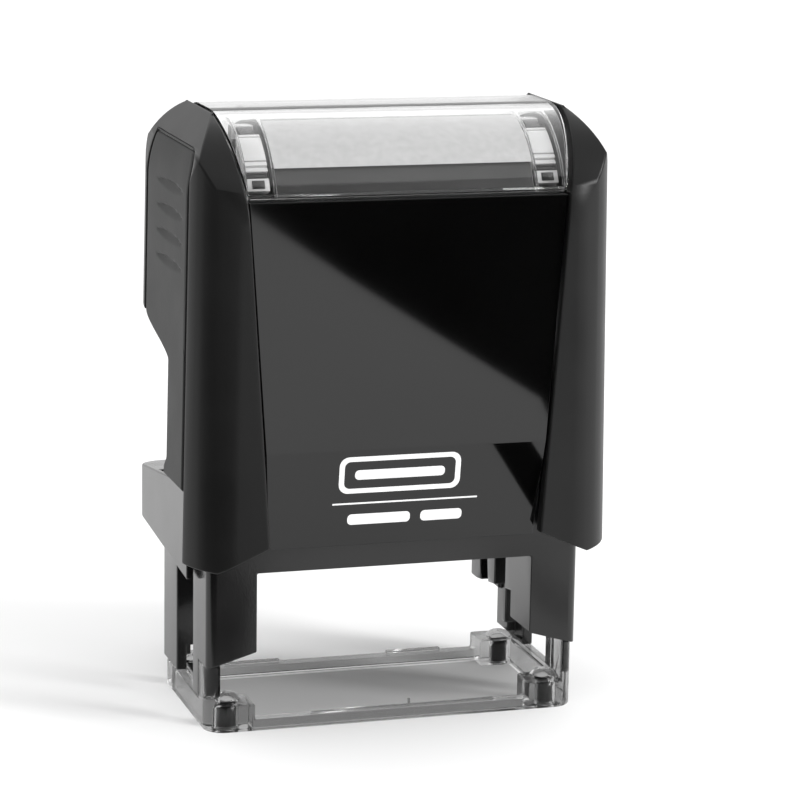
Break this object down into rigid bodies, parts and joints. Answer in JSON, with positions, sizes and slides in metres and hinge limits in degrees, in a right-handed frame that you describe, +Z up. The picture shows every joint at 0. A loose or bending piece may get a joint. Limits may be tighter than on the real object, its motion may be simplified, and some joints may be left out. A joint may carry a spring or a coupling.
{
  "type": "self inking stamp",
  "caption": "Pocket self-inking stamp: a sprung cap slides over a frame and turns the text plate over from the ink pad down to the paper.",
  "frame": {"origin": "middle of the stamp's outline, seen from above, at the height of the table it stands on", "axes": "+Z up, the way the cap comes off; +X to the right seen from the front; the glossy front faces -Y and the ink cartridge's bumper +Y"},
  "size_m": [0.0408, 0.0298, 0.0572],
  "materials": {
    "matte_black": "fine satin texture",
    "grip_black": "coarse matt grip texture",
    "gloss_black": "high gloss",
    "frame_black": "satin",
    "smoke_clear": "lightly smoked clear plastic",
    "window_clear": "clear polished plastic",
    "latch_clear": "clear plastic",
    "felt_ink": "inked felt",
    "foam": "closed-cell foam",
    "rubber_plate": "laser-engraved rubber",
    "steel": "drawn wire and ground pins",
    "card_white": "uncoated card",
    "seat_black": "satin",
    "peg_dark": "smooth dark rubber"
  },
  "bodies": {
    "frame": {"base_window": "smoke_clear", "base_snap_pins": "peg_dark", "inner_frame": "frame_black", "ink_cartridge": "frame_black", "ink_pad": "felt_ink", "left_return_spring": "steel", "right_return_spring": "steel"},
    "cap": {"cap_shell": "matte_black", "left_grip_panel": "grip_black", "right_grip_panel": "grip_black", "front_gloss_panel": "gloss_black", "index_card": "card_white", "rear_card": "card_white", "card_seat": "seat_black", "left_window_latch": "latch_clear", "right_window_latch": "latch_clear", "left_drive_arm": "frame_black", "right_drive_arm": "frame_black", "left_spring_post": "matte_black", "right_spring_post": "matte_black"},
    "index_cover": {"index_window": "window_clear"},
    "die": {"die_holder": "frame_black", "mounting_foam": "foam", "text_plate": "rubber_plate", "axle_pins": "steel", "cam_pins": "steel"}
  },
  "joints": [
    {"name": "cap_press", "type": "slide", "parent": "frame", "child": "cap", "axis": [0, 0, -1], "range_m": [0, 0.014], "stiffness_N_per_m": 600, "springref_m": -0.01, "deforming": ["left_return_spring", "right_return_spring"]},
    {"name": "die_flip", "type": "hinge", "parent": "cap", "child": "die", "pos_m": [0, -0.0026, 0.02], "axis": [-1, 0, 0], "range_deg": [0, 180]},
    {"name": "window_lift", "type": "slide", "parent": "cap", "child": "index_cover", "axis": [0, 0, 1], "range_m": [0, 0.008]}
  ],
  "couplings": [
    {"joint": "die_flip", "follows": "cap_press", "rad_per_m": 224.4}
  ]
}
